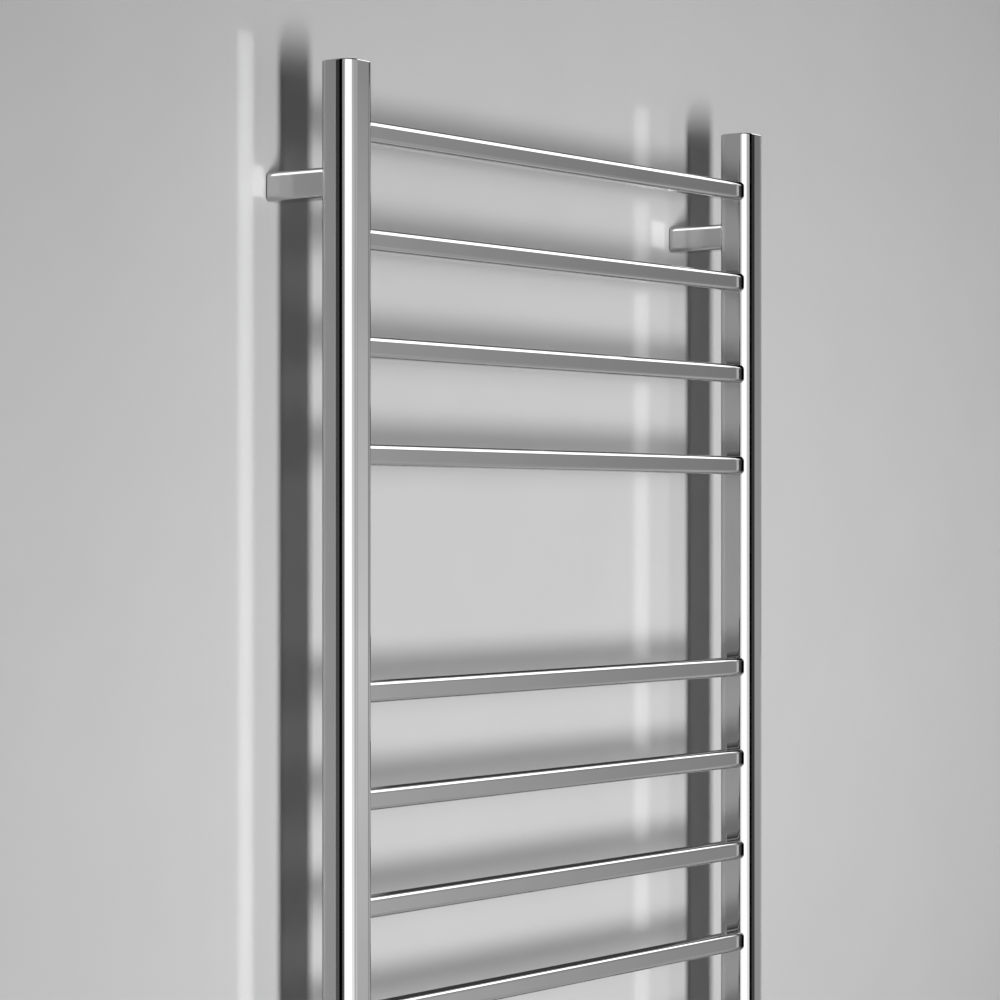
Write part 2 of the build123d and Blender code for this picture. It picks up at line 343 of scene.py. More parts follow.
@dataclass(frozen=True)
class Finish:
    """A surface finish: two close tones, a range of gloss and a fine relief, in real sizes.

    The tones follow a soft mottle, and the gloss and relief follow a finer grain. A noise keeps
    near one half, so the gloss is spread over the middle of the grain's values.
    """

    name: str
    tones: tuple[str, str]
    gloss: tuple[float, float]
    grain_mm: tuple[float, float, float]
    relief_mm: float
    mottle_mm: float
    metallic: float = 0.0
    ior: float = 1.5
    wave_mm: tuple[float, float, float] | None = None
    wave_height_mm: float = 0.0
    mottle_detail: float = 3.0
    grain_detail: float = 2.0
    wave_detail: float = 0.0
    grain_span: tuple[float, float] = (0.3, 0.7)

    def pattern(
        self, tree: bpy.types.NodeTree, sizes_mm: tuple[float, float, float], detail: float
    ) -> bpy.types.NodeSocket:
        """Add a noise of a given size on the piece's own coordinates.

        Args:
            tree: Node tree of the material.
            sizes_mm: Size of one blotch on X, Y and Z.
            detail: How many finer layers the noise has.

        Returns:
            The noise's value socket.
        """
        place = add_node(tree, "ShaderNodeTexCoord", {}).outputs["Object"]
        scale = tuple(1.0 / (size * MM) for size in sizes_mm)
        sized = add_node(tree, "ShaderNodeMapping", {"Vector": place, "Scale": scale}).outputs[0]
        sockets = {"Vector": sized, "Scale": 1.0, "Detail": detail}
        return add_node(tree, "ShaderNodeTexNoise", sockets).outputs[0]

    def colour(self, tree: bpy.types.NodeTree) -> bpy.types.NodeSocket:
        """Add the mottled colour.

        Args:
            tree: Node tree of the material.

        Returns:
            The colour socket.
        """
        mottle = self.pattern(tree, (self.mottle_mm,) * 3, self.mottle_detail)
        first, second = (linear(tone) for tone in self.tones)
        sockets = {0: mottle, 6: first, 7: second}
        return add_node(tree, "ShaderNodeMix", sockets, data_type="RGBA").outputs[2]

    def build(self) -> bpy.types.Material:
        """Make the material.

        Returns:
            A node material on the piece's own coordinates.
        """
        material = bpy.data.materials.new(self.name)
        material.use_nodes = True
        tree = material.node_tree
        shader = tree.nodes["Principled BSDF"]
        grain = self.pattern(tree, self.grain_mm, self.grain_detail)
        limits = ("From Min", "From Max", "To Min", "To Max")
        spans = dict(zip(limits, (*self.grain_span, *self.gloss)))
        rough = add_node(tree, "ShaderNodeMapRange", {"Value": grain, **spans})
        sockets = {"Height": grain, "Distance": self.relief_mm * MM}
        relief = add_node(tree, "ShaderNodeBump", sockets)
        if self.wave_mm:
            wave = self.pattern(tree, self.wave_mm, self.wave_detail)
            sockets = {"Height": wave, "Distance": self.wave_height_mm * MM}
            relief = add_node(tree, "ShaderNodeBump", {**sockets, "Normal": relief.outputs[0]})
        tree.links.new(self.colour(tree), shader.inputs["Base Color"])
        tree.links.new(rough.outputs[0], shader.inputs["Roughness"])
        tree.links.new(relief.outputs[0], shader.inputs["Normal"])
        shader.inputs["Metallic"].default_value = self.metallic
        if not self.metallic:
            shader.inputs["IOR"].default_value = self.ior
        return material


@dataclass(frozen=True)
class StripedFinish(Finish):
    """Insulation of one colour with stripes of a second one along the wire's run down the tube.

    Blender's wave texture turns by 20 radians in each unit of length, so the scale of the stripes
    is divided by that.
    """

    stripe: str = "#E3C512"
    stripe_mm: float = 1.1
    stripe_edge: tuple[float, float] = (0.45, 0.55)
    wave_radians: float = 20.0

    def colour(self, tree: bpy.types.NodeTree) -> bpy.types.NodeSocket:
        """Add the ground colour with its stripes.

        Args:
            tree: Node tree of the material.

        Returns:
            The colour socket.
        """
        ground = super().colour(tree)
        place = add_node(tree, "ShaderNodeTexCoord", {}).outputs["Object"]
        sockets = {"Vector": place, "Scale": 1.0 / (self.wave_radians * self.stripe_mm * MM)}
        ridged = {"bands_direction": "X", "wave_profile": "TRI"}
        bands = add_node(tree, "ShaderNodeTexWave", sockets, **ridged).outputs[1]
        low, high = self.stripe_edge
        sockets = {"Value": bands, "From Min": low, "From Max": high}
        edge = add_node(tree, "ShaderNodeMapRange", sockets).outputs[0]
        sockets = {0: edge, 6: ground, 7: linear(self.stripe)}
        return add_node(tree, "ShaderNodeMix", sockets, data_type="RGBA").outputs[2]


# Mirror-polished drawn stainless steel: it shows the room nearly as a mirror would. The buffing
# wheel leaves faint lengthwise lines, which are far finer than the 1.5 mm drawn here so that they
# show, and the drawn tube is never quite flat, so straight reflections swim a little along it.
POLISHED_TUBE = {
    run: Finish(
        name=f"polished_stainless_steel_{run.name.lower()}",
        tones=("#B1B1B1", "#B9B9B9"),
        gloss=(0.035, 0.075),
        grain_mm=run.sizes(1.5, 90.0),
        relief_mm=0.0004,
        mottle_mm=60.0,
        metallic=1.0,
        wave_mm=run.sizes(45.0, 170.0),
        wave_height_mm=0.02,
    )
    for run in Run
}

# Turned and polished stainless steel of the switch: lathe marks make it hazier than the tubes
TURNED_STEEL = Finish(
    "turned_stainless_steel",
    tones=("#B2B4B5", "#BDBFC0"),
    gloss=(0.10, 0.18),
    grain_mm=(0.5, 0.5, 0.2),
    relief_mm=0.0008,
    mottle_mm=8.0,
    metallic=1.0,
)

# Die-cast zinc: a dull grey skin with fine grain and darker flow marks
CAST_ZINC = Finish(
    "die_cast_zinc",
    tones=("#8B8D8F", "#A3A5A7"),
    gloss=(0.38, 0.55),
    grain_mm=(0.6, 0.6, 0.6),
    relief_mm=0.012,
    mottle_mm=9.0,
    metallic=1.0,
)

# Zinc-plated steel screws: a bright skin with a faint straw and blue cast
PLATED_SCREW = Finish(
    "zinc_plated_steel",
    tones=("#A3A5AA", "#B3B0A4"),
    gloss=(0.22, 0.34),
    grain_mm=(0.4, 0.4, 0.4),
    relief_mm=0.004,
    mottle_mm=2.5,
    metallic=1.0,
)

# Moulded rubber: nearly black with a dusty bloom and no gloss
MOULDED_RUBBER = Finish(
    "moulded_rubber",
    tones=("#1B1B1B", "#282827"),
    gloss=(0.62, 0.80),
    grain_mm=(0.5, 0.5, 0.5),
    relief_mm=0.010,
    mottle_mm=5.0,
    ior=1.52,
)

# Tinned brass: a soft white metal through which the brass warms a little
TINNED_BRASS = Finish(
    "tinned_brass",
    tones=("#B7B09A", "#C4C0B2"),
    gloss=(0.25, 0.40),
    grain_mm=(0.5, 0.5, 0.5),
    relief_mm=0.004,
    mottle_mm=2.0,
    metallic=1.0,
)

# Moulded polyamide of the connector strip: milky white with a fine spark-eroded texture
MOULDED_POLYAMIDE = Finish(
    "moulded_polyamide",
    tones=("#D9D8D0", "#E6E5DE"),
    gloss=(0.40, 0.52),
    grain_mm=(0.4, 0.4, 0.4),
    relief_mm=0.006,
    mottle_mm=6.0,
    ior=1.53,
)

# Heat-shrunk sleeve: black polyolefin, drawn tight and slightly rippled
SHRUNK_SLEEVE = Finish(
    "heat_shrunk_sleeve",
    tones=("#17181A", "#232427"),
    gloss=(0.34, 0.48),
    grain_mm=(2.0, 2.0, 3.0),
    relief_mm=0.05,
    mottle_mm=4.0,
    ior=1.5,
)

# Extruded silicone of the heating cable: brick red with a dull, slightly greasy sheen
EXTRUDED_SILICONE = Finish(
    "extruded_silicone",
    tones=("#8E3A2C", "#A04435"),
    gloss=(0.42, 0.56),
    grain_mm=(0.8, 0.8, 0.8),
    relief_mm=0.008,
    mottle_mm=12.0,
    ior=1.41,
)

# Extruded insulation of the cold leads, with a soft sheen and faint die lines
BROWN_INSULATION = Finish(
    "extruded_pvc_brown",
    tones=("#5A3A24", "#68452C"),
    gloss=(0.34, 0.46),
    grain_mm=(0.7, 0.7, 4.0),
    relief_mm=0.004,
    mottle_mm=8.0,
    ior=1.53,
)
BLUE_INSULATION = Finish(
    "extruded_pvc_blue",
    tones=("#2F5FA3", "#3B6DB4"),
    gloss=(0.34, 0.46),
    grain_mm=(0.7, 0.7, 4.0),
    relief_mm=0.004,
    mottle_mm=8.0,
    ior=1.53,
)
EARTH_INSULATION = StripedFinish(
    "extruded_pvc_green_yellow",
    tones=("#3F7F2E", "#4A8B37"),
    gloss=(0.34, 0.46),
    grain_mm=(0.7, 0.7, 4.0),
    relief_mm=0.004,
    mottle_mm=8.0,
    ior=1.53,
)

# Emulsion paint on plaster: matt, with a faint roller texture and slow changes of tone
PAINTED_PLASTER = Finish(
    "emulsion_on_plaster",
    tones=("#D3D3D3", "#D9D9D9"),
    gloss=(0.80, 0.92),
    grain_mm=(4.0, 4.0, 4.0),
    relief_mm=0.05,
    mottle_mm=120.0,
    ior=1.45,
)

# Pale sealed screed: matt, a little lighter than the wall
PALE_SCREED = Finish(
    "sealed_screed",
    tones=("#DADAD8", "#E2E2E0"),
    gloss=(0.55, 0.70),
    grain_mm=(6.0, 6.0, 6.0),
    relief_mm=0.03,
    mottle_mm=260.0,
    ior=1.45,
)


def make_piece(name: str, surface: Surface, material: bpy.types.Material) -> bpy.types.Object:
    """Put a surface into the scene as an object at the origin, shaded by its own normals.

    Args:
        name: Name of the object.
        surface: Surface in the frame of the solids.
        material: Finish of the whole surface.

    Returns:
        The new object.
    """
    mesh = bpy.data.meshes.new(name)
    faces = surface.quads.tolist() + surface.triangles.tolist()
    mesh.from_pydata(surface.points.tolist(), [], faces, shade_flat=False)
    mesh.normals_split_custom_set_from_vertices(surface.normals.tolist())
    mesh.materials.append(material)
    piece = bpy.data.objects.new(name, mesh)
    bpy.context.scene.collection.objects.link(piece)
    return piece


def stand_in(node: str, surface: Surface, material: bpy.types.Material) -> None:
    """Let a surface stand for a solid of the frame, on the rack's body.

    Args:
        node: Name of the solid.
        surface: Surface that is shown in its place.
        material: Finish of the surface.
    """
    piece = make_piece(f"{node}_skin", surface, material)
    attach(piece, RACK)
    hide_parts(node)
    log.info("%s: %d faces", piece.name, len(piece.data.polygons))


@dataclass(frozen=True)
class Uprights:
    """The two uprights and the plates that close their ends."""

    corner: float = UPRIGHT_CORNER
    wall: float = 1.5 * MM
    rim: float = 1.2 * MM
    bore_rim: float = 0.2 * MM
    cap_edge: float = 0.25 * MM
    cap_flat: float = 1.0 * MM
    switch_hole: float = 8.0 * MM
    corner_steps: int = 28
    rim_steps: int = 6

    def tube(self, node: str) -> Surface:
        """Shape one upright.

        Args:
            node: The upright's solid, which gives its place and outer size.

        Returns:
            The tube's closed surface.
        """
        low, high = corners_of(node)
        plan = rounded_square(high[0] - low[0], self.corner, self.corner_steps)
        rims = (self.rim, self.bore_rim)
        section = wall_section(self.wall, low[2], high[2], rims, self.rim_steps)
        middle = (low + high) / 2 * (1, 1, 0)
        return carried(plan, section, Ends.LOOP).moved(middle)

    def cap(self, node: str) -> Surface:
        """Shape one end plate, with a fine groove left between it and the tube.

        Args:
            node: The plate's solid, which gives its place and outer size.

        Returns:
            The plate's closed surface.
        """
        low, high = corners_of(node)
        plan = rounded_square(high[0] - low[0], self.corner - self.wall, self.corner_steps)
        inside = -self.cap_flat
        corners = np.array([(inside, low[2]), (0.0, low[2]), (0.0, high[2]), (inside, high[2])])
        section = rounded_path(corners, np.full(4, self.cap_edge), self.rim_steps, closed=False)
        middle = (low + high) / 2 * (1, 1, 0)
        return carried(plan, section, Ends.POLES).moved(middle)

    def bored_cap(self, node: str) -> Surface:
        """Shape the end plate that carries the switch.

        Args:
            node: The plate's solid, which gives its place and outer size.

        Returns:
            The plate's closed surface with a round hole in its middle.
        """
        low, high = corners_of(node)
        plan = rounded_square(high[0] - low[0], self.corner - self.wall, self.corner_steps)
        rims = (self.cap_edge, self.cap_edge)
        section = wall_section(self.switch_hole, low[2], high[2], rims, self.rim_steps)
        middle = (low + high) / 2 * (1, 1, 0)
        bore = matching_circle(plan, self.switch_hole)
        return carried(plan, section, Ends.LOOP, bore).moved(middle)

    def build(self) -> None:
        """Make the uprights and their plates, polished along their length."""
        steel = POLISHED_TUBE[Run.ALONG_Z].build()
        for side in ("left", "right"):
            stand_in(f"{side}_upright", self.tube(f"{side}_upright"), steel)
            stand_in(f"{side}_top_cap", self.cap(f"{side}_top_cap"), steel)
        stand_in("left_bottom_cap", self.cap("left_bottom_cap"), steel)
        stand_in("right_bottom_cap", self.bored_cap("right_bottom_cap"), steel)


@dataclass(frozen=True)
class Bars:
    """The cross bars that the towels hang on."""

    count: int = 10
    corner: float = 4.5 * MM
    wall: float = 1.2 * MM
    rim: float = 0.1 * MM
    corner_steps: int = 14
    rim_steps: int = 2

    def tube(self, node: str) -> Surface:
        """Shape one bar.

        Args:
            node: The bar's solid, which gives its place and outer size.

        Returns:
            The tube's closed surface.
        """
        low, high = corners_of(node)
        plan = rounded_square(high[2] - low[2], self.corner, self.corner_steps)
        section = wall_section(self.wall, low[0], high[0], (self.rim, self.rim), self.rim_steps)
        middle = (low + high) / 2 * (0, 1, 1)
        return carried(plan, section, Ends.LOOP).turned(Run.ALONG_X).moved(middle)

    def build(self) -> None:
        """Make the bars, polished along their length."""
        steel = POLISHED_TUBE[Run.ALONG_X].build()
        for number in range(1, self.count + 1):
            stand_in(f"bar_{number}", self.tube(f"bar_{number}"), steel)


@dataclass(frozen=True)
class Standoffs:
    """The four short tubes that hold the uprights off the wall, with a set screw's hole below."""

    upright_side: float = 35.0 * MM
    upright_corner: float = UPRIGHT_CORNER
    wall_distance: float = 60.0 * MM
    corner: float = 4.0 * MM
    wall: float = 2.0 * MM
    rim: float = 0.3 * MM
    hole_radius: float = 2.0 * MM
    hole_from_wall: float = 7.0 * MM
    hole_steps: int = 32
    corner_steps: int = 14
    rim_steps: int = 3

    def tube(self, node: str) -> Surface:
        """Shape one standoff, its far end following the upright's rounded back.

        Wherever the standoff reaches past the flat of the upright's back, its far end is deeper
        than that flat by the upright's corner radius less the height of that corner's circle.

        Args:
            node: The standoff's solid, which gives its place and outer size.

        Returns:
            The tube's closed surface.
        """
        low, high = corners_of(node)
        plan = rounded_square(high[0] - low[0], self.corner, self.corner_steps)
        rims = (self.rim, self.rim)
        section = wall_section(self.wall, 0.0, self.wall_distance, rims, self.rim_steps)
        tube = carried(plan, section, Ends.LOOP)
        across, along = tube.points[:, 0], tube.points[:, 2]
        flat = self.upright_side / 2 - self.upright_corner
        past_flat = np.clip(np.abs(across) - flat, 0.0, self.upright_corner)
        deeper = self.upright_corner - np.sqrt(self.upright_corner**2 - past_flat**2)
        points = tube.points.copy()
        points[:, 2] += np.where(along > self.wall_distance / 2, deeper, 0.0)
        tube = self.bored(replace(tube, points=points), high[0] - low[0])
        middle = (low + high) / 2 * (1, 0, 1)
        return tube.turned(Run.FROM_WALL).moved(middle)

    def bored(self, tube: Surface, side: float) -> Surface:
        """Cut the set screw's hole through the tube's underside.

        The two flat faces under the tube give way to triangles between their four corners and a
        circle, a quarter of it to each corner, and a short round wall joins the two circles. The
        outer face lies in the row after the first rim, and the inner one in that after the third.

        Args:
            tube: The tube, still along its own third axis.
            side: Distance across the tube's flats.

        Returns:
            The tube with its hole.
        """
        columns = 4 * (self.corner_steps + 1)
        outer_row, inner_row = self.rim_steps, 3 * self.rim_steps + 2
        flats = np.array([outer_row, inner_row]) * columns + self.corner_steps
        outer, inner = tube.quads[flats]
        steps = np.arange(self.hole_steps)
        onward = (steps + 1) % self.hole_steps
        angle = 2 * np.pi * steps / self.hole_steps
        ray = np.stack([np.cos(angle), np.zeros_like(angle), np.sin(angle)], axis=1)
        heights = np.array([-side / 2, self.wall - side / 2])
        circles = self.hole_radius * ray + np.array([0.0, 0.0, self.hole_from_wall])
        rims = circles[None] + heights[:, None, None] * np.array([0.0, 1.0, 0.0])
        count = len(tube.points)
        first = count + self.hole_steps * np.arange(4)
        down = np.tile((0.0, -1.0, 0.0), (self.hole_steps, 1))
        fan = np.stack([steps // (self.hole_steps // 4), onward, steps], axis=1)
        quarters = np.arange(4)
        side_points = ((quarters + 1) * (self.hole_steps // 4)) % self.hole_steps
        sides = np.stack([quarters, (quarters + 1) % 4, side_points], axis=1)
        outside = (first[0], outer[[2, 3, 0, 1]], [0, 1, 2])
        inside = (first[1], inner[[1, 0, 3, 2]], [0, 2, 1])
        patches = []
        for ring, corners, order in (outside, inside):
            fanned = [corners[fan[:, 0]], ring + fan[:, 1], ring + fan[:, 2]]
            joined = [corners[sides[:, 0]], corners[sides[:, 1]], ring + sides[:, 2]]
            patch = np.concatenate([np.stack(fanned, axis=1), np.stack(joined, axis=1)])
            patches.append(patch[:, order])
        low, high = first[2:]
        barrel = np.stack([low + steps, low + onward, high + onward, high + steps], axis=1)
        return Surface(
            np.concatenate([tube.points, rims[0], rims[1], rims[0], rims[1]]),
            np.concatenate([tube.normals, down, -down, -ray, -ray]),
            np.concatenate([np.delete(tube.quads, flats, axis=0), barrel]),
            np.concatenate([tube.triangles, *patches]),
        )

    def build(self) -> None:
        """Make the standoffs, polished along their length."""
        steel = POLISHED_TUBE[Run.FROM_WALL].build()
        for level in ("upper", "lower"):
            for side in ("left", "right"):
                node = f"{level}_{side}_standoff"
                stand_in(node, self.tube(node), steel)


@dataclass(frozen=True)
class EarthScrew:
    """The bonding screw whose head shows low on the right upright's back."""

    cross_reach: float = 2.1 * MM
    cross_half_width: float = 0.5 * MM
    cross_depth: float = 1.2 * MM
    cross_slope: float = 0.25 * MM
    cross_limit: float = 0.8
    first_ring: float = 0.01
    rim_share: float = 0.98
    flatness: int = 4
    least_length: float = 1e-12
    rings: int = 40
    rays: int = 120

    def head(self) -> Surface:
        """Shape the head as a height over a disc.

        The height falls from the crown to the rim as a flattened circle does. Two crossed slots are
        taken out of it, as deep as the smaller of the room to their sides and to their ends allows.

        Returns:
            The head's closed surface.
        """
        low, high = corners_of("earth_screw")
        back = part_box("right_upright")[1].y
        radius, crown = (high[0] - low[0]) / 2, high[1] - back
        share = np.linspace(self.first_ring, 1.0, self.rings)[:, None]
        angle = np.linspace(0.0, 2 * np.pi, self.rays, endpoint=False)[None]
        across, along = radius * share * np.cos(angle), radius * share * np.sin(angle)
        room = np.maximum(
            np.minimum(self.cross_half_width - np.abs(across), self.cross_reach - np.abs(along)),
            np.minimum(self.cross_half_width - np.abs(along), self.cross_reach - np.abs(across)),
        )
        sunk = self.cross_depth * np.clip(room / self.cross_slope, 0.0, 1.0)
        dome = crown * np.sqrt(1.0 - (self.rim_share * share) ** self.flatness)
        height = dome - np.minimum(sunk, crown * self.cross_limit)
        rows = np.stack([across, along, height], axis=2)
        skirt = rows[-1:] * (1, 1, 0)
        grid = np.concatenate([skirt, rows[::-1]])
        poles = np.stack([(0.0, 0.0, 0.0), (0.0, 0.0, height[0].mean())])
        points = np.concatenate([grid.reshape(-1, 3), poles])
        slope_u = np.gradient(grid, axis=0)
        slope_v = (np.roll(grid, -1, axis=1) - np.roll(grid, 1, axis=1)) / 2
        facing = np.cross(slope_v, slope_u)
        facing /= np.linalg.norm(facing, axis=2, keepdims=True) + self.least_length
        normals = np.concatenate([facing.reshape(-1, 3), POLE_NORMALS])
        place = np.array([(low[0] + high[0]) / 2, back, (low[2] + high[2]) / 2])
        to_wall = np.array(((1, 0, 0), (0, 0, 1), (0, -1, 0)), float)
        faces = ring_faces(len(grid), self.rays, Ends.POLES)
        return Surface(points @ to_wall.T + place, normals @ to_wall.T, *faces)

    def build(self) -> None:
        """Make the screw's head."""
        stand_in("earth_screw", self.head(), PLATED_SCREW.build())


@dataclass(frozen=True)
class Fittings:
    """The solids that are shown as they are: wall blocks, switch, and what is inside the tubes."""

    finishes: tuple[tuple[str, Finish], ...] = (
        ("polished_steel", TURNED_STEEL),
        ("zinc_block", CAST_ZINC),
        ("screw_steel", PLATED_SCREW),
        ("black_rubber", MOULDED_RUBBER),
        ("tinned_brass", TINNED_BRASS),
        ("white_plastic", MOULDED_POLYAMIDE),
        ("black_plastic", SHRUNK_SLEEVE),
        ("red_silicone", EXTRUDED_SILICONE),
        ("brown_insulation", BROWN_INSULATION),
        ("blue_insulation", BLUE_INSULATION),
        ("green_insulation", EARTH_INSULATION),
    )

    def build(self) -> None:
        """Dress every solid that nothing stands in for, by its material slot."""
        made = {slot: finish.build() for slot, finish in self.finishes}
        for part in frame["record"]["subparts"]:
            solid = frame["nodes"][part["node"]]
            if not solid.hide_render:
                solid.data.materials.clear()
                solid.data.materials.append(made[part["material_slot"]])
                log.info("%s: dressed in %s", solid.name, made[part["material_slot"]].name)


@dataclass(frozen=True)
class Card:
    """An upright glowing card: a reflector for the polished surfaces, or a backdrop for the camera.

    It runs from one place on the plan to another. Its lights are those of the ends of its lower and
    of its upper edge, and they blend from corner to corner.
    """

    name: str
    start: tuple[float, float]
    end: tuple[float, float]
    heights: tuple[float, float]
    lights: Lights
    seen: Seen = Seen.BY_POLISH
    steps: int = 8

    def build(self) -> None:
        """Make the card as a patch whose points and light blend those of its four corners.

        Point (i, j) lies j steps of the way from start to end and i steps of the way up. Its light
        is the same blend of the lower and of the upper pair of lights.
        """
        share = np.linspace(0.0, 1.0, self.steps + 1)
        up, along = (grid.ravel() for grid in np.meshgrid(share, share, indexing="ij"))
        plan = np.outer(1 - along, self.start) + np.outer(along, self.end)
        height = self.heights[0] + up * (self.heights[1] - self.heights[0])
        lower, upper = (pair[0] + along * (pair[1] - pair[0]) for pair in self.lights)
        columns = self.steps + 1
        first = (np.arange(self.steps)[:, None] * columns + np.arange(self.steps)).ravel()
        faces = np.stack([first, first + 1, first + columns + 1, first + columns], axis=1)
        mesh = bpy.data.meshes.new(self.name)
        mesh.from_pydata(np.column_stack([plan, height]).tolist(), [], faces.tolist())
        glow = mesh.attributes.new("glow", "FLOAT", "POINT")
        glow.data.foreach_set("value", lower + up * (upper - lower))
        material = bpy.data.materials.new(self.name)
        material.use_nodes = True
        material.cycles.emission_sampling = "NONE"
        tree = material.node_tree
        tree.nodes.remove(tree.nodes["Principled BSDF"])
        strength = add_node(tree, "ShaderNodeAttribute", {}, attribute_name="glow").outputs["Fac"]
        shine = add_node(tree, "ShaderNodeEmission", {"Strength": strength})
        tree.links.new(shine.outputs[0], tree.nodes["Material Output"].inputs["Surface"])
        mesh.materials.append(material)
        card = bpy.data.objects.new(self.name, mesh)
        card.visible_camera = self.seen is Seen.BY_CAMERA
        card.visible_glossy = self.seen is Seen.BY_POLISH
        card.visible_diffuse = False
        card.visible_transmission = False
        card.visible_shadow = False
        bpy.context.scene.collection.objects.link(card)


@dataclass(frozen=True)
class BarShades:
    """Dark cards behind the bars, which draw the dark line along the bars' upper edges.

    A shade is a name, the places where it starts and ends on X, its height over the bar, and its
    lights. The first fades out towards the left upright, and the last is low, because the inner
    face of the right upright mirrors it.
    """

    gap: float = 2.0 * MM
    shades: tuple[tuple[str, float, float, float, Lights], ...] = (
        ("fading", -0.290, -0.240, 35.0 * MM, ((0.45, 0.055), (0.45, 0.055))),
        ("dark", -0.240, 0.200, 35.0 * MM, ((0.055, 0.055), (0.055, 0.055))),
        ("darker", 0.200, 0.288, 6.0 * MM, ((0.055, 0.03), (0.12, 0.35))),
    )

    def build(self) -> None:
        """Make the cards of every bar."""
        for bar in (name for name in frame["nodes"] if name.startswith("bar_")):
            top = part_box(bar)[1]
            behind = top.y + self.gap
            for shade, start, end, height, lights in self.shades:
                ends, heights = ((start, behind), (end, behind)), (top.z, top.z + height)
                Card(f"{shade}_above_{bar}", *ends, heights, lights).build()


@dataclass(frozen=True)
class StripLight:
    """A soft light with an upright rectangle for a face, turned to a place on the wall."""

    name: str
    power: float
    middle: float
    height: float
    aim: float = 0.0
    tilt_deg: float = 0.0
    spread_deg: float = 180.0
    place: tuple[float, float] = (-1.143, -2.70)
    width: float = 0.30

    def build(self) -> None:
        """Make the light."""
        light = bpy.data.lights.new(self.name, "AREA")
        light.shape = "RECTANGLE"
        light.size, light.size_y = self.width, self.height
        light.energy = self.power
        light.spread = math.radians(self.spread_deg)
        lamp = bpy.data.objects.new(self.name, light)
        across, ahead = self.place
        lamp.location = (across, ahead, self.middle)
        heading = math.atan2(across - self.aim, -ahead)
        lamp.rotation_euler = (math.radians(90 + self.tilt_deg), 0.0, heading)
        lamp.visible_camera = False
        lamp.visible_glossy = False
        bpy.context.scene.collection.objects.link(lamp)


@dataclass(frozen=True)
class Studio:
    """Wall, floor, lights, reflectors and backdrops round the rack."""

    half_width: float = 5.0
    wall_top: float = 2.6
    floor: float = -1.30
    floor_depth: float = 6.0
    wall_gap: float = 0.5 * MM
    looked_through: float = 2.0 * MM
    room_light: float = 0.004
    floor_glow: float = 0.35

    def sheet(
        self, name: str, corners: list[tuple[float, float, float]], finish: Finish
    ) -> bpy.types.Object:
        """Make one flat sheet of the studio.

        Args:
            name: Name of the sheet.
            corners: Its four corners, anticlockwise as seen from the rack.
            finish: What it is made of.

        Returns:
            The sheet.
        """
        mesh = bpy.data.meshes.new(name)
        mesh.from_pydata(corners, [], [(0, 1, 2, 3)])
        mesh.materials.append(finish.build())
        sheet = bpy.data.objects.new(name, mesh)
        bpy.context.scene.collection.objects.link(sheet)
        return sheet

    def one_sided(self, sheet: bpy.types.Object) -> None:
        """Let a sheet be looked through from behind, and by reflections of what lies against it.

        A face against the sheet would otherwise mirror nothing but the dark gap between them.

        Args:
            sheet: The sheet.
        """
        tree = sheet.active_material.node_tree
        behind = add_node(tree, "ShaderNodeNewGeometry", {}).outputs["Backfacing"]
        path = add_node(tree, "ShaderNodeLightPath", {})
        sockets = {0: path.outputs["Ray Length"], 1: self.looked_through}
        touching = add_node(tree, "ShaderNodeMath", sockets, operation="LESS_THAN").outputs[0]
        sockets = {0: touching, 1: path.outputs["Is Glossy Ray"]}
        mirrored = add_node(tree, "ShaderNodeMath", sockets, operation="MULTIPLY").outputs[0]
        sockets = {0: behind, 1: mirrored}
        opened = add_node(tree, "ShaderNodeMath", sockets, operation="MAXIMUM").outputs[0]
        clear = add_node(tree, "ShaderNodeBsdfTransparent", {}).outputs[0]
        solid = tree.nodes["Principled BSDF"].outputs[0]
        both = add_node(tree, "ShaderNodeMixShader", {0: opened, 1: solid, 2: clear}).outputs[0]
        tree.links.new(both, tree.nodes["Material Output"].inputs["Surface"])

    def build(self) -> None:
        """Make the wall and floor, the soft room light, the lights, reflectors and backdrops."""
        left, right, back = -self.half_width, self.half_width, self.wall_gap
        low, high = self.floor, self.wall_top
        wall = [(left, back, low), (right, back, low), (right, back, high), (left, back, high)]
        self.one_sided(self.sheet("studio_wall", wall, PAINTED_PLASTER))
        near, far = -self.floor_depth, self.floor_depth
        floor = [(left, near, low), (right, near, low), (right, far, low), (left, far, low)]
        # The floor is lit for itself, evenly, so it throws no light up the wall.
        ground = self.sheet("studio_floor", floor, PALE_SCREED)
        ground.visible_diffuse = False
        ground.active_material.cycles.emission_sampling = "NONE"
        screed = ground.active_material.node_tree.nodes["Principled BSDF"]
        screed.inputs["Emission Strength"].default_value = self.floor_glow
        world = bpy.data.worlds.new("soft_room")
        world.use_nodes = True
        background = world.node_tree.nodes["Background"]
        background.inputs["Color"].default_value = (1.0, 1.0, 1.0, 1.0)
        background.inputs["Strength"].default_value = self.room_light
        bpy.context.scene.world = world
        for piece in (*LIGHTS, *REFLECTORS, *BACKDROPS, BarShades()):
            piece.build()


def even(lower: float, upper: float) -> Lights:
    """Give the lights of a card that change with the height only."""
    return (lower, lower), (upper, upper)


